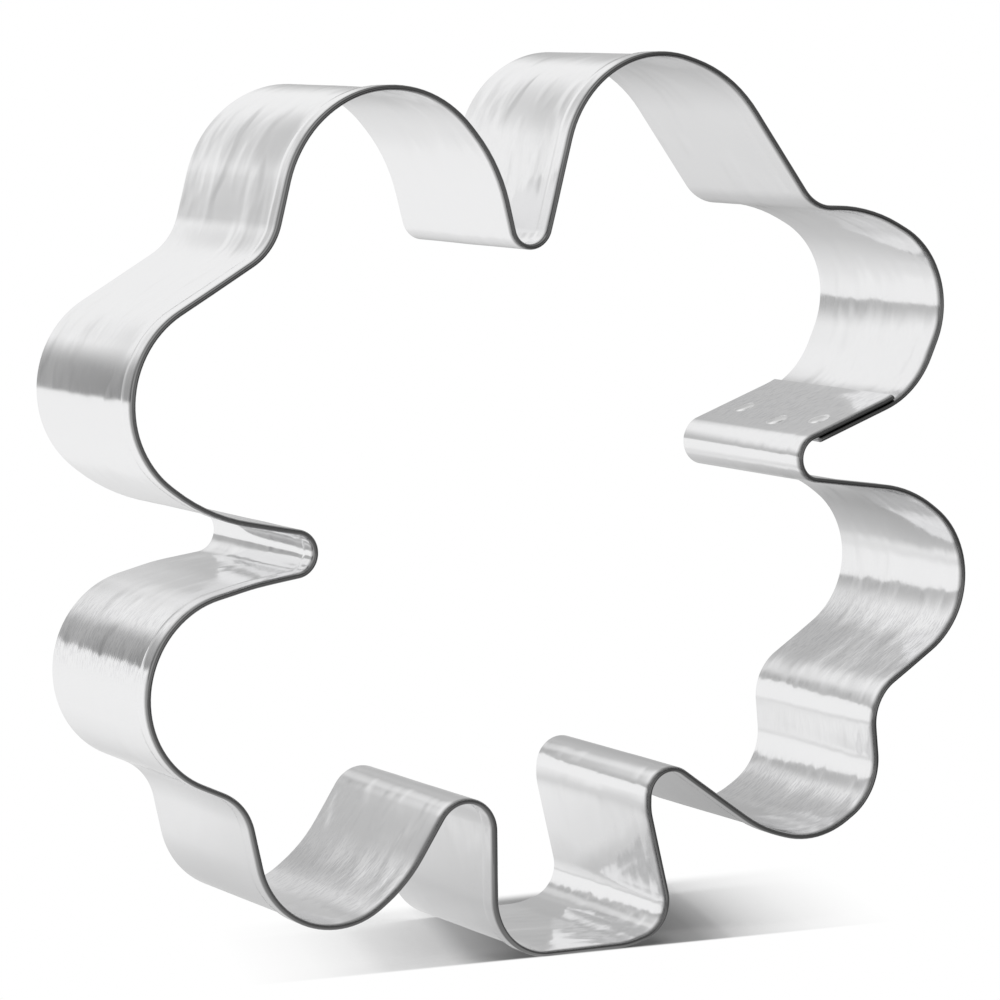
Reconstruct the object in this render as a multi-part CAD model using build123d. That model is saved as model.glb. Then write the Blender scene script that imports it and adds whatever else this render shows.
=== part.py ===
from build123d import *
import os
from collections import namedtuple
from math import asin, atan2, cos, pi, sin

# A four-leaf clover cookie cutter, in millimetres. One strip of tinplate has its front edge
# folded back outwards as a hem, is bent to the clover's outline, and is spot welded to itself
# where its ends lap. It stands on the foot of its stem, with X to the right, Y from the hemmed
# rim to the cutting edge and Z up. The origin is on the ground, midway across and in depth.

# The whole cutter
clover_width = 98.0
band_depth = 22.0
stem_length = 14.0
foot_flat = 8.3
foot_corner = 6.3

# The sheet and its folded hem
sheet = 0.25
fold_gap = 0.05
hem_width = 2.5

# The lap: how far the inner end runs round the leaf, and how far the outer end stops short
# of the notch
lap_gap = 0.05
inner_lap_reach = 1.2
outer_lap_shortfall = 0.7

# The welds
weld_diameter = 2.4
weld_margin = 0.1
weld_dish = 0.06

# Sizes that follow from those
hem_thickness = sheet + fold_gap + sheet
hem_stand = sheet + fold_gap
fold_radius = hem_thickness / 2
lap_step = hem_thickness + lap_gap
rim_y = -band_depth / 2
cutting_y = band_depth / 2

# The outline is a string drawn round pegs, clockwise as seen from the front: each bend of
# the strip has a centre and a radius, and tangent straights join one bend to the next. A
# bend turns LEFT where the outline goes in at a notch or a cleft, and RIGHT round a leaf.
LEFT = 1
RIGHT = -1
Bend = namedtuple("Bend", "centre radius")

# Centre across from the middle, centre above the stem's root, radius and turn of each bend,
# as shares of the clover's width
right_leaf_shares = [
    (0.305, 0.357, 0.024, LEFT),
    (0.375, 0.187, 0.136, RIGHT),
    (0.408, 0.220, 0.090, RIGHT),
    (0.436, 0.069, 0.052, LEFT),
    (0.322, 0.027, 0.066, RIGHT),
    (0.299, 0.048, 0.096, RIGHT),
    (0.307, 0.105, 0.153, RIGHT),
    (0.126, 0.010, 0.028, LEFT),
    (0.159, 0.004, 0.061, LEFT),
]
left_and_top_leaf_shares = [
    (-0.122, -0.010, 0.034, LEFT),
    (-0.303, 0.054, 0.153, RIGHT),
    (-0.271, -0.003, 0.088, RIGHT),
    (-0.421, 0.000, 0.057, LEFT),
    (-0.382, 0.152, 0.098, RIGHT),
    (-0.311, -0.022, 0.284, RIGHT),
    (-0.320, 0.286, 0.022, LEFT),
    (-0.337, 0.508, 0.193, RIGHT),
    (-0.397, 0.438, 0.101, RIGHT),
    (-0.403, 0.625, 0.063, LEFT),
    (-0.216, 0.624, 0.119, RIGHT),
    (-0.249, 0.583, 0.171, RIGHT),
    (-0.055, 0.606, 0.022, LEFT),
    (0.099, 0.666, 0.113, RIGHT),
    (0.097, 0.629, 0.149, RIGHT),
    (0.315, 0.667, 0.047, LEFT),
    (0.321, 0.447, 0.173, RIGHT),
    (0.368, 0.514, 0.092, RIGHT),
]
lap_bend_share = (0.356, 0.499, 0.091, RIGHT)
stem_middle_share = 0.021

# The foot's right corner starts easy and ends tight: centre across from the end of the flat,
# centre above the ground and radius, as shares of the left corner's radius
foot_corner_shares = {"tight": (0.345, 0.641, 0.578), "easy": (0.0, 1.360, 1.360)}

# Place of each weld from the hem towards the cutting edge, as a share of the room there, and
# its step back from the outer lap's end, as a share of the weld's diameter
weld_shares = [(0.0, 0.62), (0.34, 0.0), (0.84, 0.70)]


def leaf_bend(shares):
    """A bend of the leaves, from its shares of the clover's width."""
    across, up, radius, turn = shares
    centre = Vector(across * clover_width, hem_stand + stem_length + up * clover_width)
    return Bend(centre, turn * radius * clover_width)


def foot_bends():
    """The bends at the foot of the stem, from right to left."""
    middle = stem_middle_share * clover_width
    bends = []
    for across, up, radius in foot_corner_shares.values():
        centre_x = middle + foot_flat / 2 + across * foot_corner
        centre = Vector(centre_x, hem_stand + up * foot_corner)
        bends.append(Bend(centre, RIGHT * radius * foot_corner))
    left_centre = Vector(middle - foot_flat / 2, hem_stand + foot_corner)
    bends.append(Bend(left_centre, RIGHT * foot_corner))
    return bends


def to_left(heading):
    """Unit vector to the left of a heading, which is outwards from the clover."""
    return Vector(-sin(heading), cos(heading))


def along(heading):
    """Unit vector along a heading."""
    return Vector(cos(heading), sin(heading))


def straight_heading(start, end):
    """Heading of the straight that leaves one bend and meets the next one smoothly."""
    run = end.centre - start.centre
    return atan2(run.Y, run.X) - asin((end.radius - start.radius) / run.length)


def on_bend(bend, heading):
    """Point of a bend where the strip has the heading."""
    return bend.centre - to_left(heading) * bend.radius


def in_rim(point):
    """Place of a point of the outline in the rim's plane."""
    return Vector(point.X, rim_y, point.Y)


def half_turned(bend, start, end):
    """Heading halfway through a bend, from its first heading to its last."""
    turn = (end - start) % (2 * pi)
    if bend.radius < 0:
        turn -= 2 * pi
    return start + turn / 2


inner_lap_bend = leaf_bend(lap_bend_share)
outer_lap_bend = Bend(inner_lap_bend.centre, inner_lap_bend.radius + RIGHT * lap_step)
right_bends = [leaf_bend(shares) for shares in right_leaf_shares]
left_bends = [leaf_bend(shares) for shares in left_and_top_leaf_shares]
bends = [inner_lap_bend] + right_bends + foot_bends() + left_bends + [outer_lap_bend]

# The flat of the lap lies between the lap's bend and the right notch
notch_bend = right_bends[0]
lap_heading = straight_heading(inner_lap_bend, notch_bend)
lap_flat = (on_bend(notch_bend, lap_heading) - on_bend(inner_lap_bend, lap_heading)).length
outer_lap_length = lap_flat - outer_lap_shortfall
start_heading = lap_heading + inner_lap_reach / abs(inner_lap_bend.radius)


def bend_line():
    """Line that the sheet's outer face follows, from the inner lap's end to the outer's."""
    headings = [straight_heading(start, end) for start, end in zip(bends, bends[1:])]
    headings = [start_heading] + headings + [lap_heading]
    edges = []
    for index, bend in enumerate(bends):
        start, end = headings[index], headings[index + 1]
        middle = half_turned(bend, start, end)
        edges.append(ThreePointArc([in_rim(on_bend(bend, h)) for h in (start, middle, end)]))
        if index + 1 < len(bends):
            straight_end = on_bend(bends[index + 1], end)
        else:
            straight_end = on_bend(bend, end) + along(end) * outer_lap_length
        edges.append(Line(in_rim(on_bend(bend, end)), in_rim(straight_end)))
    return Wire(edges)


def strip_section():
    """Section of the strip at its inner end: the sheet with its edge folded back outwards."""
    start = on_bend(inner_lap_bend, start_heading)
    outward = to_left(start_heading)
    travel = along(start_heading)
    plane = Plane(
        origin=in_rim(start),
        x_dir=(outward.X, 0, outward.Y),
        z_dir=(-travel.X, 0, -travel.Y),
    )
    middle = fold_gap / 2
    with BuildSketch(plane) as section:
        with BuildLine():
            Line((-sheet, band_depth), (-sheet, fold_radius))
            ThreePointArc((-sheet, fold_radius), (middle, 0), (hem_stand, fold_radius))
            Line((hem_stand, fold_radius), (hem_stand, hem_width))
            Line((hem_stand, hem_width), (fold_gap, hem_width))
            Line((fold_gap, hem_width), (fold_gap, fold_radius))
            ThreePointArc((fold_gap, fold_radius), (middle, sheet), (0, fold_radius))
            Line((0, fold_radius), (0, band_depth))
            Line((0, band_depth), (-sheet, band_depth))
        make_face()
    return section.sketch


def weld_planes():
    """Planes at the welds, on the outer face of the inner lap, each facing outwards."""
    start = on_bend(inner_lap_bend, lap_heading)
    outward = to_left(lap_heading)
    last = outer_lap_length - weld_margin - weld_diameter / 2
    nearest = rim_y + hem_width + weld_margin + weld_diameter / 2
    farthest = cutting_y - weld_margin - weld_diameter / 2
    planes = []
    for depth_share, back_share in weld_shares:
        place = start + along(lap_heading) * (last - back_share * weld_diameter)
        depth = nearest + depth_share * (farthest - nearest)
        planes.append(Plane(origin=(place.X, depth, place.Y), z_dir=(outward.X, 0, outward.Y)))
    return planes


def weld_cylinder(plane):
    """The round of metal that a weld takes up, through both laps."""
    with BuildPart(plane.offset(-sheet)) as cylinder:
        height = sheet + lap_step
        Cylinder(weld_diameter / 2, height, align=(Align.CENTER, Align.CENTER, Align.MIN))
    return cylinder.part


def weld_nugget(plane):
    """A weld, dished on both faces where the electrodes pressed it."""
    dish_radius = (weld_diameter / 2) ** 2 / (2 * weld_dish) + weld_dish / 2
    nugget = weld_cylinder(plane)
    inner = plane.offset(-sheet + weld_dish - dish_radius)
    outer = plane.offset(lap_step - weld_dish + dish_radius)
    for face in (inner, outer):
        nugget -= face * Sphere(dish_radius)
    return nugget


def formed_strip():
    """The hemmed strip, bent to the clover, with the welds' holes through its laps."""
    strip = sweep(strip_section(), path=bend_line())
    for plane in weld_planes():
        strip -= weld_cylinder(plane)
    return strip


def spot_welds():
    """The three welds that hold the laps together."""
    return Compound(children=[weld_nugget(plane) for plane in weld_planes()])


nodes = {"formed_strip": formed_strip(), "spot_welds": spot_welds()}

os.makedirs("parts", exist_ok=True)
for name, shape in nodes.items():
    export_step(shape, "parts/" + name + ".step")
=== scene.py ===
import bmesh
import bpy
from collections import namedtuple
from math import asin, atan2, ceil, cos, pi, radians, sin
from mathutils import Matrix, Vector


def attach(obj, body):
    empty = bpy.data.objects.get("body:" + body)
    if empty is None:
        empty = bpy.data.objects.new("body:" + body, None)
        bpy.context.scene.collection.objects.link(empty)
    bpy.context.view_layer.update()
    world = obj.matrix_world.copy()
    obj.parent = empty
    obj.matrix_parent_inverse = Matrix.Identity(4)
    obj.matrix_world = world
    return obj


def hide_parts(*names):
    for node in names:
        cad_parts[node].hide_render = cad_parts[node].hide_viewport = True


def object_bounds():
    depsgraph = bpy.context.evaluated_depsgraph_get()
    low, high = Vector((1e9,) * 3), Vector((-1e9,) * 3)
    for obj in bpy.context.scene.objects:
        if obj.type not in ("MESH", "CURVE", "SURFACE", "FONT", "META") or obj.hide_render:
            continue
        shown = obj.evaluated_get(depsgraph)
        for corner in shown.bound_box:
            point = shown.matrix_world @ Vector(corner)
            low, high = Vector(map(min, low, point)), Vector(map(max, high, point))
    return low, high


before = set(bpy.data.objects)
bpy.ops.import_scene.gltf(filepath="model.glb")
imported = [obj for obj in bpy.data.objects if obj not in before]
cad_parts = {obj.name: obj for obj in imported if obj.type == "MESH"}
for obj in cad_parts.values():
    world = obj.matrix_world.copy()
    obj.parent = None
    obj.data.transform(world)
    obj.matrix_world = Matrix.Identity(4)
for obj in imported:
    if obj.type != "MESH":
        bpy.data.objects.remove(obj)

cad_low, cad_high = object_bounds()

# Formed strip. One strip of bright tinplate, a quarter of a millimetre thick. Its front edge is
# folded back outwards as a hem, and the strip is bent round to the outline of a four-leaf clover
# with a stem. Its two ends lap beside the right notch.
mm = 0.001
clover_width = 98.0 * mm
stem_length = 14.0 * mm
foot_flat = 8.3 * mm
foot_corner = 6.3 * mm
sheet = 0.25 * mm
fold_gap = 0.05 * mm
hem_width = 2.5 * mm
lap_gap = 0.05 * mm
inner_lap_reach = 1.2 * mm
outer_lap_shortfall = 0.7 * mm
hem_stand = sheet + fold_gap
fold_radius = (sheet + fold_gap + sheet) / 2
lap_step = 2 * fold_radius + lap_gap
rim_y = cad_low.y
cutting_y = cad_high.y
band_depth = cutting_y - rim_y

# The outline is a string drawn round pegs, clockwise as seen from the front: bends with a centre
# and a radius, joined by tangent straights. A bend turns LEFT where the outline goes in at a
# notch or a cleft, and RIGHT round a leaf. Each row holds the centre across from the middle, the
# centre above the stem's root, the radius and the turn, as shares of the clover's width.
LEFT = 1
RIGHT = -1
Bend = namedtuple("Bend", "centre radius")
right_leaf_shares = [
    (0.305, 0.357, 0.024, LEFT),
    (0.375, 0.187, 0.136, RIGHT),
    (0.408, 0.220, 0.090, RIGHT),
    (0.436, 0.069, 0.052, LEFT),
    (0.322, 0.027, 0.066, RIGHT),
    (0.299, 0.048, 0.096, RIGHT),
    (0.307, 0.105, 0.153, RIGHT),
    (0.126, 0.010, 0.028, LEFT),
    (0.159, 0.004, 0.061, LEFT),
]
left_and_top_leaf_shares = [
    (-0.122, -0.010, 0.034, LEFT),
    (-0.303, 0.054, 0.153, RIGHT),
    (-0.271, -0.003, 0.088, RIGHT),
    (-0.421, 0.000, 0.057, LEFT),
    (-0.382, 0.152, 0.098, RIGHT),
    (-0.311, -0.022, 0.284, RIGHT),
    (-0.320, 0.286, 0.022, LEFT),
    (-0.337, 0.508, 0.193, RIGHT),
    (-0.397, 0.438, 0.101, RIGHT),
    (-0.403, 0.625, 0.063, LEFT),
    (-0.216, 0.624, 0.119, RIGHT),
    (-0.249, 0.583, 0.171, RIGHT),
    (-0.055, 0.606, 0.022, LEFT),
    (0.099, 0.666, 0.113, RIGHT),
    (0.097, 0.629, 0.149, RIGHT),
    (0.315, 0.667, 0.047, LEFT),
    (0.321, 0.447, 0.173, RIGHT),
    (0.368, 0.514, 0.092, RIGHT),
]
lap_bend_share = (0.356, 0.499, 0.091, RIGHT)
stem_middle_share = 0.021

# The foot's right corner starts easy and ends tight: centre across from the end of the flat,
# centre above the ground and radius, as shares of the left corner's radius.
foot_corner_shares = {"tight": (0.345, 0.641, 0.578), "easy": (0.0, 1.360, 1.360)}


def leaf_bend(shares):
    """A bend of the leaves, from its shares of the clover's width."""
    across, up, radius, turn = shares
    centre = Vector((across * clover_width, hem_stand + stem_length + up * clover_width))
    return Bend(centre, turn * radius * clover_width)


def foot_bends():
    """The bends at the foot of the stem, from right to left."""
    middle = stem_middle_share * clover_width
    found = []
    for across, up, radius in foot_corner_shares.values():
        centre_x = middle + foot_flat / 2 + across * foot_corner
        centre = Vector((centre_x, hem_stand + up * foot_corner))
        found.append(Bend(centre, RIGHT * radius * foot_corner))
    left_centre = Vector((middle - foot_flat / 2, hem_stand + foot_corner))
    found.append(Bend(left_centre, RIGHT * foot_corner))
    return found


def to_left(heading):
    """Unit vector to the left of a heading, which is outwards from the clover."""
    return Vector((-sin(heading), cos(heading)))


def along(heading):
    """Unit vector along a heading."""
    return Vector((cos(heading), sin(heading)))


def straight_heading(start, end):
    """Heading of the straight that leaves one bend and meets the next one smoothly."""
    run = end.centre - start.centre
    return atan2(run.y, run.x) - asin((end.radius - start.radius) / run.length)


def on_bend(bend, heading):
    """Point of a bend where the strip has the heading."""
    return bend.centre - to_left(heading) * bend.radius


def in_space(point, depth=0.0):
    """Place in the frame of a point of the outline, at a depth along Y."""
    return Vector((point.x, depth, point.y))


inner_lap_bend = leaf_bend(lap_bend_share)
outer_lap_bend = Bend(inner_lap_bend.centre, inner_lap_bend.radius + RIGHT * lap_step)
right_bends = [leaf_bend(shares) for shares in right_leaf_shares]
left_bends = [leaf_bend(shares) for shares in left_and_top_leaf_shares]
bends = [inner_lap_bend] + right_bends + foot_bends() + left_bends + [outer_lap_bend]
lap_heading = straight_heading(inner_lap_bend, right_bends[0])
lap_start = on_bend(inner_lap_bend, lap_heading)
lap_flat = (on_bend(right_bends[0], lap_heading) - lap_start).length
outer_lap_length = lap_flat - outer_lap_shortfall
start_heading = lap_heading + inner_lap_reach / abs(inner_lap_bend.radius)
headings = [straight_heading(start, end) for start, end in zip(bends, bends[1:])]
headings = [start_heading] + headings + [lap_heading]


def edit(piece, mode):
    """Opens a piece in edit mode, with nothing selected."""
    bpy.context.view_layer.objects.active = piece
    bpy.ops.object.mode_set(mode="EDIT")
    bpy.ops.mesh.select_mode(type=mode)
    bpy.ops.mesh.select_all(action="DESELECT")


def select_edges(piece, wanted):
    """Selects the edges whose middle passes a test."""
    mesh = bmesh.from_edit_mesh(piece.data)
    for edge in mesh.edges:
        edge.select_set(wanted((edge.verts[0].co + edge.verts[1].co) / 2))
    mesh.select_flush_mode()
    bmesh.update_edit_mesh(piece.data)


def extrude(move):
    """Extrudes what is selected by one move."""
    bpy.ops.mesh.extrude_region_move(TRANSFORM_OT_translate={"value": move})


# The section of the strip lies flat first, with X outwards and Y from the rim to the cutting
# edge. It starts as the sheet under the hem, and grows from both ends of that.
hair = 0.001 * mm
fold_reach = 0.42 * mm
bpy.ops.object.select_all(action="DESELECT")
bpy.ops.mesh.primitive_plane_add(
    size=1,
    location=(-sheet / 2, rim_y + (fold_reach + hem_width) / 2, 0),
)
strip = bpy.context.object
strip.name = "tinplate_strip"
strip.data.name = strip.name
strip.scale = (sheet, hem_width - fold_reach, 1)
bpy.ops.object.transform_apply(location=True, rotation=True, scale=True)
edit(strip, "EDGE")

# The sheet past the hem: the witness line that the fold leaves, the flat of the band in short
# runs, and the sheared cutting edge
witness_run = 0.25 * mm
witness_dent = 0.010 * mm
shear_round = 0.05 * mm
sheared_share = 0.6
band_runs = 17
select_edges(strip, lambda middle: abs(middle.y - rim_y - hem_width) < hair)
extrude((witness_dent, witness_run, 0))
extrude((-witness_dent, witness_run, 0))
flat_run = (band_depth - hem_width - 2 * witness_run - 2 * shear_round) / band_runs
for run in range(band_runs):
    extrude((0, flat_run, 0))
extrude((0, shear_round, 0))
extrude((0, shear_round, 0))
bpy.ops.transform.resize(value=(sheared_share, 1, 1))

# The fold at the rim, pressed a little longer than it is round, and the hem that lies back along
# the outside of the sheet, pressed tighter towards its free edge
fold_steps = 14
hem_runs = [0.15 * mm, 0.6 * mm, 0.6 * mm, 0.6 * mm]
hem_press = 0.009 * mm
hem_end_share = 0.7
select_edges(strip, lambda middle: abs(middle.y - rim_y - fold_reach) < hair)
bpy.ops.mesh.spin(
    steps=fold_steps,
    angle=-pi,
    center=(fold_gap / 2, rim_y + fold_reach, 0),
    axis=(0, 0, 1),
)
for run in hem_runs:
    extrude((-hem_press, run, 0))
extrude((-hem_press, hem_width - fold_reach - sum(hem_runs), 0))
bpy.ops.transform.resize(value=(hem_end_share, 1, 1))
select_edges(strip, lambda middle: middle.y < rim_y + fold_reach - hair)
bpy.ops.transform.resize(
    value=(1, fold_reach / fold_radius, 1),
    center_override=(0, rim_y + fold_reach, 0),
)
bpy.ops.object.mode_set(mode="OBJECT")

# The section stands up at the inner end of the strip, and is drawn along the outline. Both cut
# ends are left short for their rounding.
end_rounds = [(0.05 * mm, 0.997), (0.03 * mm, 0.99)]
end_length = sum(length for length, share in end_rounds)
headings[0] -= end_length / abs(inner_lap_bend.radius)
outward = to_left(headings[0])
start = on_bend(inner_lap_bend, headings[0])
strip.rotation_euler = (0, atan2(-outward.y, outward.x), 0)
strip.location = in_space(start)
bpy.ops.object.transform_apply(location=True, rotation=True, scale=True)
edit(strip, "FACE")
bpy.ops.mesh.select_all(action="SELECT")
bend_step = radians(4)
longest_run = 1.3 * mm
for index, bend in enumerate(bends):
    first, last = headings[index], headings[index + 1]
    turn = (last - first) % (2 * pi)
    if bend.radius < 0:
        turn -= 2 * pi
    arc = abs(turn * bend.radius)
    steps = max(ceil(abs(turn) / bend_step), ceil(arc / longest_run))
    bpy.ops.mesh.spin(steps=steps, angle=turn, center=in_space(bend.centre), axis=(0, 1, 0))
    leaving = on_bend(bend, last)
    if index + 1 < len(bends):
        run = on_bend(bends[index + 1], last) - leaving
    else:
        run = along(last) * (outer_lap_length - end_length)
    extrude(in_space(run))
bpy.ops.mesh.select_mode(type="EDGE")
for halving in range(4):
    mesh = bmesh.from_edit_mesh(strip.data)
    for edge in mesh.edges:
        edge.select_set(edge.calc_length() > longest_run)
    bpy.ops.mesh.subdivide(number_cuts=1)
strip_ends = [
    (in_space(start), in_space(-along(headings[0]))),
    (in_space(leaving + run), in_space(along(last))),
]
for place, direction in strip_ends:
    mesh = bmesh.from_edit_mesh(strip.data)
    for face in mesh.faces:
        away = face.calc_center_median() - place
        in_plane = abs(away.dot(direction)) < hair and abs(face.normal.dot(direction)) > 0.99
        face.select_set(in_plane and Vector((away.x, away.z)).length < 3 * sheet)
    bmesh.update_edit_mesh(strip.data)
    for length, share in end_rounds:
        extrude(direction * length)
        bpy.ops.transform.resize(value=(share, share, share), center_override=place)
bpy.ops.mesh.select_all(action="SELECT")
bpy.ops.mesh.normals_make_consistent(inside=False)
bpy.ops.object.mode_set(mode="OBJECT")

# Bending leaves the band slightly uneven. It is calm at the welded lap, on the foot's flat and
# where the band is widest and highest.
uneven = 0.07 * mm
uneven_length = 8.0 * mm
calm_reach = 14.0 * mm
calm_core_share = 0.6
calm_margin = 0.6 * mm
lap_middle = lap_start + along(lap_heading) * lap_flat / 2
free_band = strip.vertex_groups.new(name="free_band")
for vertex in strip.data.vertices:
    away = (Vector((vertex.co.x, vertex.co.z)) - lap_middle).length / calm_reach
    free = min(max(away - calm_core_share, 0.0) / (1 - calm_core_share), 1.0)
    for side in (0, 2):
        room = min(vertex.co[side] - cad_low[side], cad_high[side] - vertex.co[side])
        free = min(free, room / calm_margin)
    free_band.add([vertex.index], max(free, 0.0), "REPLACE")
for direction, tilt in (("X", 0.0), ("Z", 1.0)):
    dents = bpy.data.textures.new("dents_" + direction, type="CLOUDS")
    dents.noise_scale = uneven_length
    dents.noise_depth = 1
    where = bpy.data.objects.new("dents_place", None)
    bpy.context.collection.objects.link(where)
    where.location = (tilt, tilt, tilt)
    bpy.context.view_layer.update()
    wave = strip.modifiers.new("uneven_" + direction, "DISPLACE")
    wave.texture = dents
    wave.texture_coords = "OBJECT"
    wave.texture_coords_object = where
    wave.direction = direction
    wave.mid_level = 0.5
    wave.strength = uneven
    wave.vertex_group = free_band.name
    bpy.ops.object.modifier_apply(modifier=wave.name)
    bpy.data.objects.remove(where)
strip.vertex_groups.clear()

# The welds take up round places through both laps: each has a place along the lap and in depth
weld_diameter = 2.4 * mm
weld_margin = 0.1 * mm
weld_sides = 48
weld_shares = [(0.0, 0.62), (0.34, 0.0), (0.84, 0.70)]
outwards = in_space(to_left(lap_heading))
weld_places = []
for depth_share, back_share in weld_shares:
    reach = outer_lap_length - weld_margin - weld_diameter / 2 - back_share * weld_diameter
    nearest = rim_y + hem_width + weld_margin + weld_diameter / 2
    farthest = cutting_y - weld_margin - weld_diameter / 2
    depth = nearest + depth_share * (farthest - nearest)
    weld_places.append(in_space(lap_start + along(lap_heading) * reach, depth))
for place in weld_places:
    bpy.ops.object.select_all(action="DESELECT")
    bpy.ops.mesh.primitive_cylinder_add(
        vertices=weld_sides,
        radius=weld_diameter / 2,
        depth=3 * lap_step,
        location=place + outwards * lap_step / 2,
        rotation=outwards.to_track_quat("Z", "Y").to_euler(),
    )
    punch = bpy.context.object
    hole = strip.modifiers.new("weld_hole", "BOOLEAN")
    hole.object = punch
    hole.operation = "DIFFERENCE"
    hole.solver = "EXACT"
    bpy.context.view_layer.objects.active = strip
    bpy.ops.object.modifier_apply(modifier=hole.name)
    bpy.data.objects.remove(punch)
bpy.ops.object.select_all(action="DESELECT")
strip.select_set(True)
crease_angle = radians(40)
bpy.ops.object.shade_smooth_by_angle(angle=crease_angle)
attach(strip, "root")
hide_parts("formed_strip")


def new_group(name, inputs, outputs):
    """A shader node group with number inputs and the outputs named."""
    group = bpy.data.node_groups.new(name, "ShaderNodeTree")
    for socket, value in inputs.items():
        made = group.interface.new_socket(socket, in_out="INPUT", socket_type="NodeSocketFloat")
        made.default_value = value
    for socket, kind in outputs.items():
        group.interface.new_socket(socket, in_out="OUTPUT", socket_type="NodeSocket" + kind)
    return group, group.nodes.new("NodeGroupInput"), group.nodes.new("NodeGroupOutput")


def noise(tree, scale, detail):
    """Noise on Object coordinates, with a scale for each axis."""
    place = tree.nodes.new("ShaderNodeTexCoord")
    stretch = tree.nodes.new("ShaderNodeMapping")
    stretch.inputs["Scale"].default_value = scale
    grain = tree.nodes.new("ShaderNodeTexNoise")
    grain.inputs["Scale"].default_value = 1.0
    grain.inputs["Detail"].default_value = detail
    tree.links.new(place.outputs["Object"], stretch.inputs["Vector"])
    tree.links.new(stretch.outputs["Vector"], grain.inputs["Vector"])
    return grain.outputs["Fac"]


def ranged(tree, value, low, high, to_low, to_high):
    """A value carried smoothly from one range to another."""
    span = tree.nodes.new("ShaderNodeMapRange")
    span.interpolation_type = "SMOOTHSTEP"
    limits = {"From Min": low, "From Max": high, "To Min": to_low, "To Max": to_high}
    for name, number in limits.items():
        span.inputs[name].default_value = number
    tree.links.new(value, span.inputs["Value"])
    return span.outputs["Result"]


def mixed(tree, factor, first, second):
    """Two colours mixed by a factor."""
    mix = tree.nodes.new("ShaderNodeMix")
    mix.data_type = "RGBA"
    for socket, value in ((mix.inputs["A"], first), (mix.inputs["B"], second)):
        if isinstance(value, tuple):
            socket.default_value = value
        else:
            tree.links.new(value, socket)
    tree.links.new(factor, mix.inputs["Factor"])
    return mix.outputs["Result"]


def worked(tree, operation, first, second):
    """A sum done on two values, either of which may be a plain number."""
    sum_node = tree.nodes.new("ShaderNodeMath")
    sum_node.operation = operation
    for socket, value in zip(sum_node.inputs, (first, second)):
        if isinstance(value, float):
            socket.default_value = value
        else:
            tree.links.new(value, socket)
    return sum_node.outputs[0]


# Rolling leaves short fine streaks along the strip and broader smears, so both change slowly
# across X and Z and fast along Y. A slow cloud keeps the smears in patches.
smear_height = 0.25 * mm
streak_height = 0.007 * mm
patch_grain = (90.0, 160.0, 90.0)
smear_grain = (75.0, 280.0, 75.0)
streak_grain = (1000.0, 5000.0, 1000.0)
brushing, asked, given = new_group(
    "rolled_brushing",
    {"Streak Depth": 1.0, "Smear Depth": 1.0},
    {"Streaks": "Float", "Normal": "Vector"},
)
patches = ranged(brushing, noise(brushing, patch_grain, 2.0), 0.42, 0.62, 0.0, 1.0)
streaks = noise(brushing, streak_grain, 2.0)
smears = worked(brushing, "MULTIPLY", noise(brushing, smear_grain, 2.0), patches)
bumps = [(smears, "Smear Depth", smear_height), (streaks, "Streak Depth", streak_height)]
normal = None
for height, name, distance in bumps:
    bump = brushing.nodes.new("ShaderNodeBump")
    bump.inputs["Distance"].default_value = distance
    brushing.links.new(asked.outputs[name], bump.inputs["Strength"])
    brushing.links.new(height, bump.inputs["Height"])
    if normal:
        brushing.links.new(normal, bump.inputs["Normal"])
    normal = bump.outputs["Normal"]
brushing.links.new(streaks, given.inputs["Streaks"])
brushing.links.new(normal, given.inputs["Normal"])

tinplate = bpy.data.materials.new("bright_tinplate")
tinplate.use_nodes = True
tree = tinplate.node_tree
tin = tree.nodes["Principled BSDF"]
tin.inputs["Metallic"].default_value = 1.0
brushed = tree.nodes.new("ShaderNodeGroup")
brushed.node_tree = brushing
tin_smear_depth = 0.28
brushed.inputs["Smear Depth"].default_value = tin_smear_depth
tin_bright = (0.90, 0.90, 0.905, 1.0)
tin_rubbed = (0.78, 0.78, 0.79, 1.0)
# Dull tin at the fold, made darker still by a painted dark reflection on the rim
dull_and_painted_dark_fold = (0.30, 0.30, 0.30, 1.0)
fold_front = 0.25 * mm
fold_back = 0.95 * mm

# Where the bending tools rubbed it, the tin shows its streaks: places across and up, and the
# reach. A spot is whole in its core and fades out to its edge.
spot_core_share = 0.4
spot_edge_share = 1.3
rubbed_places = [
    (44 * mm, 28 * mm, 6 * mm), (35 * mm, 11 * mm, 4 * mm), (-20.5 * mm, 8 * mm, 4.5 * mm),
    (-46 * mm, 34 * mm, 4 * mm), (34 * mm, 54 * mm, 6 * mm),
]
place = tree.nodes.new("ShaderNodeTexCoord")
split = tree.nodes.new("ShaderNodeSeparateXYZ")
tree.links.new(place.outputs["Object"], split.inputs[0])
depth = split.outputs["Y"]
flat = tree.nodes.new("ShaderNodeCombineXYZ")
tree.links.new(split.outputs["X"], flat.inputs["X"])
tree.links.new(split.outputs["Z"], flat.inputs["Z"])
rubbed = 0.0
for across, height, reach in rubbed_places:
    away = tree.nodes.new("ShaderNodeVectorMath")
    away.operation = "DISTANCE"
    away.inputs[1].default_value = (across, 0.0, height)
    tree.links.new(flat.outputs[0], away.inputs[0])
    core, edge = spot_core_share * reach, spot_edge_share * reach
    spot = ranged(tree, away.outputs["Value"], core, edge, 1.0, 0.0)
    rubbed = worked(tree, "MAXIMUM", spot, rubbed)
tree.links.new(ranged(tree, rubbed, 0.0, 1.0, 0.15, 1.2), brushed.inputs["Streak Depth"])
lines = ranged(tree, brushed.outputs["Streaks"], 0.46, 0.62, 0.0, 1.0)
sheen = mixed(tree, worked(tree, "MULTIPLY", lines, rubbed), tin_bright, tin_rubbed)
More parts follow.
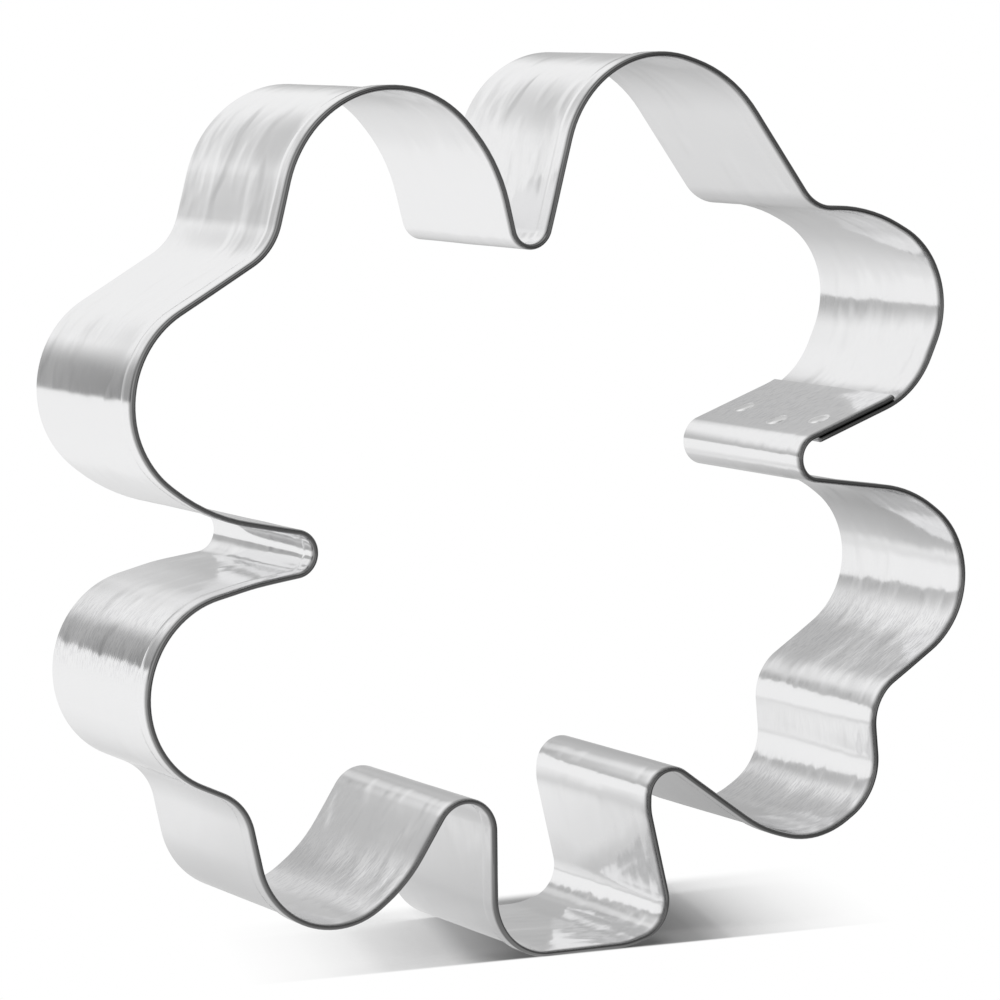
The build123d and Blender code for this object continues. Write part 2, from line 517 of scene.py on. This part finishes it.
# The fold at the rim is darker: partly dull tin at the bend, partly a painted dark reflection on the
# rim
dull_and_painted_dark_fold_mask = ranged(tree, depth, rim_y + fold_front, rim_y + fold_back, 1.0, 0.0)
tree.links.new(mixed(tree, dull_and_painted_dark_fold_mask, sheen, dull_and_painted_dark_fold), tin.inputs["Base Color"])
roughness = ranged(tree, brushed.outputs["Streaks"], 0.35, 0.65, 0.08, 0.15)
tree.links.new(roughness, tin.inputs["Roughness"])
tree.links.new(brushed.outputs["Normal"], tin.inputs["Normal"])
strip.data.materials.clear()
strip.data.materials.append(tinplate)

# Spot welds. Where the electrodes pinched the two laps together, the metal melted through both
# in three round nuggets, each a lipped dish outside, and inside a low dome in a ring groove.
lip_rise = 0.03 * mm
lip_and_dish = [
    (0.05, 0.5), (0.06, 0.5), (0.08, -0.7), (0.14, -1.0), (0.16, -1.0), (0.18, -0.7), (0.18, -0.3),
]
groove_and_dome = [(0.05, -0.9), (0.06, 0.6), (0.15, 1.7), (0.18, 1.3), (0.18, 0.7), (0.2, 0.2)]
weld_marks = []
for place in weld_places:
    bpy.ops.object.select_all(action="DESELECT")
    bpy.ops.mesh.primitive_circle_add(
        vertices=weld_sides,
        radius=weld_diameter / 2,
        fill_type="NGON",
        location=place - outwards * sheet,
        rotation=outwards.to_track_quat("Z", "Y").to_euler(),
    )
    nugget = bpy.context.object
    bpy.ops.object.transform_apply(location=True, rotation=True, scale=True)
    edit(nugget, "FACE")
    bpy.ops.mesh.select_all(action="SELECT")
    extrude(outwards * (lap_step + sheet))
    for side, profile in ((1, lip_and_dish), (-1, groove_and_dome)):
        mesh = bmesh.from_edit_mesh(nugget.data)
        for face in mesh.faces:
            away = face.calc_center_median() - place
            face.select_set(len(face.verts) > 4 and away.dot(outwards) * side > 0)
        bmesh.update_edit_mesh(nugget.data)
        for inset, rise in profile:
            bpy.ops.mesh.inset(thickness=inset * weld_diameter / 2, depth=0.0)
            bpy.ops.transform.translate(value=outwards * side * rise * lip_rise)
        bpy.ops.mesh.poke()
    bpy.ops.mesh.select_all(action="SELECT")
    bpy.ops.mesh.normals_make_consistent(inside=False)
    bpy.ops.object.mode_set(mode="OBJECT")
    weld_marks.append(nugget)
bpy.ops.object.select_all(action="DESELECT")
for nugget in weld_marks:
    nugget.select_set(True)
welds = weld_marks[0]
bpy.context.view_layer.objects.active = welds
bpy.ops.object.join()
welds.name = "weld_nuggets"
welds.data.name = welds.name
bpy.ops.object.transform_apply(location=True, rotation=True, scale=True)
bpy.ops.object.shade_smooth_by_angle(angle=crease_angle)
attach(welds, "root")
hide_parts("spot_welds")

melted_tin = bpy.data.materials.new("melted_tin")
melted_tin.use_nodes = True
tree = melted_tin.node_tree
skin = tree.nodes["Principled BSDF"]
skin.inputs["Metallic"].default_value = 1.0
brushed = tree.nodes.new("ShaderNodeGroup")
brushed.node_tree = brushing
brushed.inputs["Streak Depth"].default_value = 0.0
weld_smear_depth = 0.1
brushed.inputs["Smear Depth"].default_value = weld_smear_depth
melted_dull = (0.90, 0.90, 0.90, 1.0)
melted_bright = (0.97, 0.97, 0.97, 1.0)
blotch_grain = (500.0, 500.0, 500.0)
blotch = ranged(tree, noise(tree, blotch_grain, 1.0), 0.4, 0.6, 0.0, 1.0)
tree.links.new(mixed(tree, blotch, melted_dull, melted_bright), skin.inputs["Base Color"])
tree.links.new(ranged(tree, blotch, 0.0, 1.0, 0.08, 0.2), skin.inputs["Roughness"])
tree.links.new(brushed.outputs["Normal"], skin.inputs["Normal"])
welds.data.materials.clear()
welds.data.materials.append(melted_tin)

# Floor and studio. The cutter stands on a plain white table inside a light tent, with a glowing card
# close behind it that only the metal sees. The table keeps the shadow under the cutter, deepened by
# painted shadow beside the foot, and is plain white elsewhere. In the metal, table and card fall off
# from white at the left to grey at the right as painted light, and the table carries painted shade
# near the cutter.
def tone_ramp(tree, value, stops):
    """Tones by a value, straight from each stop to the next."""
    first, last = stops[0][0], stops[-1][0]
    share = tree.nodes.new("ShaderNodeMapRange")
    share.inputs["From Min"].default_value = first
    share.inputs["From Max"].default_value = last
    tree.links.new(value, share.inputs["Value"])
    ramp = tree.nodes.new("ShaderNodeValToRGB")
    ramp.color_ramp.interpolation = "LINEAR"
    elements = ramp.color_ramp.elements
    elements[0].color = (stops[0][1],) * 3 + (1.0,)
    elements[1].color = (stops[-1][1],) * 3 + (1.0,)
    for at, tone in stops[1:-1]:
        element = elements.new((at - first) / (last - first))
        element.color = (tone, tone, tone, 1.0)
    tree.links.new(share.outputs["Result"], ramp.inputs["Fac"])
    return ramp.outputs["Color"]


def object_axes(tree):
    """The Object coordinates X, Y and Z."""
    place = tree.nodes.new("ShaderNodeTexCoord")
    split = tree.nodes.new("ShaderNodeSeparateXYZ")
    tree.links.new(place.outputs["Object"], split.inputs[0])
    return split.outputs["X"], split.outputs["Y"], split.outputs["Z"]


def stage_only_in_reflections(card):
    """Marks a card of the studio that only the metal sees."""
    card.visible_camera = False
    card.visible_diffuse = False
    card.visible_shadow = False


# Tones of the table by X as the metal sees it, also used low on the card: a painted fall of light from
# white at the left to grey at the right
side_tones = [
    (-60 * mm, 0.935), (-35 * mm, 0.92), (-18 * mm, 0.83), (6 * mm, 0.76), (30 * mm, 0.69),
    (54 * mm, 0.605), (100 * mm, 0.54),
]
# Nearer the cutter the table's tones in the metal carry painted shade
near_side_tones = [
    (-60 * mm, 0.92), (-46 * mm, 0.86), (-30 * mm, 0.70), (-14 * mm, 0.70), (-2 * mm, 0.90),
    (4 * mm, 0.90), (16 * mm, 0.53), (45 * mm, 0.44), (80 * mm, 0.25),
]

# The real shadow fades away to both sides of the foot, and painted shadow makes it deepest beside it
shadow_shares = [
    (-32 * mm, 0.0), (-24 * mm, 0.12), (-18.5 * mm, 0.30), (-16 * mm, 0.50), (-12 * mm, 0.65),
    (-9 * mm, 0.74), (-6 * mm, 0.97), (23 * mm, 0.97), (24.5 * mm, 0.82), (27 * mm, 0.60),
    (30 * mm, 0.42), (34 * mm, 0.24), (40 * mm, 0.07), (44 * mm, 0.0),
]
# Painted contact shadow: the table's colour darkens beside the foot
painted_contact_shadow_tones = [
    (-9 * mm, 1.0), (-5 * mm, 0.70), (-1 * mm, 0.40), (15 * mm, 0.32), (20 * mm, 0.52),
    (24 * mm, 0.95),
]
bpy.ops.object.select_all(action="DESELECT")
bpy.ops.mesh.primitive_plane_add(size=8)
floor = bpy.context.object
floor.name = "floor"
floor_white = bpy.data.materials.new("floor_white")
floor_white.use_nodes = True
tree = floor_white.node_tree
tree.nodes.remove(tree.nodes["Principled BSDF"])
across, depth = object_axes(tree)[:2]
far = tone_ramp(tree, across, side_tones)
near = tone_ramp(tree, across, near_side_tones)
# In the metal the table carries painted shade: darker near the cutter and far darker in front of it
painted_table_shade = mixed(tree, ranged(tree, depth, 45 * mm, 105 * mm, 0.0, 1.0), near, far)
painted_table_shade = worked(tree, "MULTIPLY", painted_table_shade, ranged(tree, depth, -35 * mm, 5 * mm, 0.4, 1.0))
painted_table_shade = worked(tree, "MULTIPLY", painted_table_shade, ranged(tree, depth, 15 * mm, 42 * mm, 0.87, 1.0))
seen = tree.nodes.new("ShaderNodeLightPath")
tone = mixed(tree, seen.outputs["Is Glossy Ray"], (1.0, 1.0, 1.0, 1.0), painted_table_shade)
lit = tree.nodes.new("ShaderNodeBsdfDiffuse")
plain = tree.nodes.new("ShaderNodeEmission")
shadow_lean = 0.35
front_slope = 0.055
spread = worked(tree, "SUBTRACT", across, worked(tree, "MULTIPLY", depth, shadow_lean))
front = worked(tree, "ADD", depth, worked(tree, "MULTIPLY", across, front_slope))
# Painted shadow in the table's colour, deepest beside the foot and darker towards the front edge
painted_contact_shadow = worked(
    tree, "MULTIPLY",
    tone_ramp(tree, spread, painted_contact_shadow_tones),
    ranged(tree, front, -10.5 * mm, -5 * mm, 0.7, 1.0),
)
tree.links.new(worked(tree, "MULTIPLY", tone, painted_contact_shadow), lit.inputs["Color"])
tree.links.new(tone, plain.inputs["Color"])
seen_share = ranged(tree, seen.outputs["Is Glossy Ray"], 0.0, 1.0, 1.0, 0.25)
shadow = worked(
    tree, "MULTIPLY",
    worked(tree, "MULTIPLY", tone_ramp(tree, spread, shadow_shares), seen_share),
    worked(
        tree, "MULTIPLY",
        ranged(tree, front, -11.1 * mm, -10.3 * mm, 0.0, 1.0),
        ranged(tree, depth, 14 * mm, 18 * mm, 1.0, 0.0),
    ),
)
blend = tree.nodes.new("ShaderNodeMixShader")
tree.links.new(shadow, blend.inputs["Fac"])
tree.links.new(plain.outputs[0], blend.inputs[1])
tree.links.new(lit.outputs[0], blend.inputs[2])
tree.links.new(blend.outputs[0], tree.nodes["Material Output"].inputs["Surface"])
floor.data.materials.append(floor_white)

# The soft lamp hangs over the cutter, a little in front of it
lamp_place = (0, -50 * mm, 500 * mm)
lamp_size = 300 * mm
lamp_energy = 1.4
bpy.ops.object.light_add(type="AREA", location=lamp_place)
lamp = bpy.context.object
lamp.name = "soft_lamp"
lamp.data.shape = "SQUARE"
lamp.data.size = lamp_size
lamp.data.energy = lamp_energy
lamp.visible_glossy = False

# The card behind the cutter glows with painted tones that only the metal sees: white up to a darker
# band that rises to the right, and white again above the band
card_depth = 125 * mm
card_size = 500 * mm
band_foot_slope = 0.2
band_top_slope = 0.35
white_top_slope = 0.6
band_tones = [
    (-115 * mm, 0.28), (-96 * mm, 0.44), (-78 * mm, 0.49), (-52 * mm, 0.54), (-32 * mm, 0.44),
    (-16 * mm, 0.70), (0 * mm, 0.68), (18 * mm, 0.53), (34 * mm, 0.55), (50 * mm, 0.52),
    (66 * mm, 0.49), (82 * mm, 0.54), (110 * mm, 0.57),
]
bpy.ops.object.select_all(action="DESELECT")
bpy.ops.mesh.primitive_plane_add(
    size=card_size,
    location=(0, card_depth, card_size / 2),
    rotation=(pi / 2, 0, 0),
)
card = bpy.context.object
card.name = "back_card"
bpy.ops.object.transform_apply(location=True, rotation=True, scale=True)
stage_only_in_reflections(card)
glowing_reflection_card = bpy.data.materials.new("glowing_reflection_card")
glowing_reflection_card.use_nodes = True
tree = glowing_reflection_card.node_tree
tree.nodes.remove(tree.nodes["Principled BSDF"])
across, _, height = object_axes(tree)


def above(tree, slope):
    """Height over a line that rises to the right."""
    return worked(tree, "SUBTRACT", height, worked(tree, "MULTIPLY", across, slope))


low_tone = tone_ramp(tree, across, side_tones)
band_tone = tone_ramp(tree, across, band_tones)
# Above the band the card's painted tones darken to the right and towards its top
top_tone = worked(
    tree, "MULTIPLY",
    ranged(tree, above(tree, white_top_slope), 155 * mm, 185 * mm, 0.93, 0.60),
    ranged(tree, across, 42 * mm, 75 * mm, 1.0, 0.74),
)
top_tone = worked(tree, "MULTIPLY", top_tone, ranged(tree, height, 205 * mm, 240 * mm, 1.0, 0.25))
# Painted shade, low on the right of the card
falling = worked(
    tree, "MULTIPLY",
    ranged(tree, height, 5 * mm, 50 * mm, 0.0, 0.17),
    ranged(tree, across, 5 * mm, 25 * mm, 0.0, 1.0),
)
low_tone = worked(tree, "MULTIPLY", low_tone, worked(tree, "SUBTRACT", 1.0, falling))
band_foot = worked(tree, "MINIMUM", above(tree, band_foot_slope), worked(tree, "ADD", height, 16 * mm))
tone = mixed(tree, ranged(tree, band_foot, 62 * mm, 68 * mm, 0.0, 1.0), low_tone, band_tone)
left_lift = ranged(tree, across, -102 * mm, -68 * mm, 38 * mm, 0.0)
right_lift = ranged(tree, across, 15 * mm, 35 * mm, 0.0, 7 * mm)
band_top = worked(tree, "SUBTRACT", above(tree, band_top_slope), left_lift)
band_top = worked(tree, "SUBTRACT", band_top, right_lift)
tone = mixed(tree, ranged(tree, band_top, 80 * mm, 128 * mm, 0.0, 1.0), tone, top_tone)
glow = tree.nodes.new("ShaderNodeEmission")
tree.links.new(tone, glow.inputs["Color"])
tree.links.new(glow.outputs[0], tree.nodes["Material Output"].inputs["Surface"])
card.data.materials.append(glowing_reflection_card)

# The tent is a tunnel along Y, with the dark room in front of it. Its tones go by angle round its
# axis: 0 is to the right of the cutter, 90 overhead and 180 to the left.
tent_radius = 260 * mm
tent_height = 60 * mm
tent_length = 1.0
back_tent_tones = [
    (radians(-180), 0.93), (radians(-90), 0.72), (radians(-20), 0.28), (radians(50), 0.22),
    (radians(90), 0.70), (radians(120), 0.93), (radians(180), 0.90),
]
front_tent_tones = [
    (radians(-180), 0.38), (radians(-90), 0.32), (radians(-20), 0.25), (radians(40), 0.18),
    (radians(90), 0.16), (radians(130), 0.28), (radians(180), 0.38),
]
bpy.ops.object.select_all(action="DESELECT")
bpy.ops.mesh.primitive_cylinder_add(
    vertices=128,
    radius=tent_radius,
    depth=tent_length,
    end_fill_type="NOTHING",
    location=(0, 0, tent_height),
    rotation=(pi / 2, 0, 0),
)
tent = bpy.context.object
tent.name = "light_tent"
bpy.ops.object.transform_apply(location=True, rotation=True, scale=True)
stage_only_in_reflections(tent)
cloth = bpy.data.materials.new("tent_cloth")
cloth.use_nodes = True
tree = cloth.node_tree
tree.nodes.remove(tree.nodes["Principled BSDF"])
across, depth, height = object_axes(tree)
turn = worked(tree, "ARCTAN2", worked(tree, "SUBTRACT", height, tent_height), across)
back = tone_ramp(tree, turn, back_tent_tones)
front = tone_ramp(tree, turn, front_tent_tones)
glow = tree.nodes.new("ShaderNodeEmission")
tree.links.new(
    mixed(tree, ranged(tree, depth, -140 * mm, 80 * mm, 0.0, 1.0), front, back),
    glow.inputs["Color"],
)
tree.links.new(glow.outputs[0], tree.nodes["Material Output"].inputs["Surface"])
tent.data.materials.append(cloth)

# The room behind the camera, dark on the right
room_depth = -450 * mm
room_size = 600 * mm
room_tones = [(-0.3, 0.60), (-0.1, 0.50), (0.05, 0.42), (0.3, 0.37)]
bpy.ops.object.select_all(action="DESELECT")
bpy.ops.mesh.primitive_plane_add(
    size=room_size,
    location=(0, room_depth, tent_height),
    rotation=(pi / 2, 0, 0),
)
room = bpy.context.object
room.name = "dark_room"
bpy.ops.object.transform_apply(location=True, rotation=True, scale=True)
stage_only_in_reflections(room)
dark_wall = bpy.data.materials.new("dark_wall")
dark_wall.use_nodes = True
tree = dark_wall.node_tree
tree.nodes.remove(tree.nodes["Principled BSDF"])
across = object_axes(tree)[0]
glow = tree.nodes.new("ShaderNodeEmission")
tree.links.new(tone_ramp(tree, across, room_tones), glow.inputs["Color"])
tree.links.new(glow.outputs[0], tree.nodes["Material Output"].inputs["Surface"])
room.data.materials.append(dark_wall)

# The sky is white for the camera and in the metal, and lights the table more gently
sky_light = 0.65
sky = bpy.data.worlds.new("soft_sky")
bpy.context.scene.world = sky
sky.use_nodes = True
tree = sky.node_tree
seen = tree.nodes.new("ShaderNodeLightPath")
shown = worked(tree, "MAXIMUM", seen.outputs["Is Camera Ray"], seen.outputs["Is Glossy Ray"])
shown = worked(tree, "MAXIMUM", shown, seen.outputs["Is Transmission Ray"])
background = tree.nodes["Background"]
background.inputs["Color"].default_value = (1.0, 1.0, 1.0, 1.0)
tree.links.new(ranged(tree, shown, 0.0, 1.0, sky_light, 1.0), background.inputs["Strength"])

# Camera, where a fit to the rims in the photograph puts it
camera_place = (-221.076 * mm, -365.608 * mm, 91.804 * mm)
camera_turn = [radians(83.7625), radians(-0.7946), radians(-30.825)]
camera_lens = 151.46
sensor_width = 36.0
bpy.ops.object.camera_add(location=camera_place, rotation=camera_turn)
camera = bpy.context.object
camera.data.lens = camera_lens
camera.data.sensor_width = sensor_width
bpy.context.scene.camera = camera
bpy.context.scene.view_settings.view_transform = "Standard"
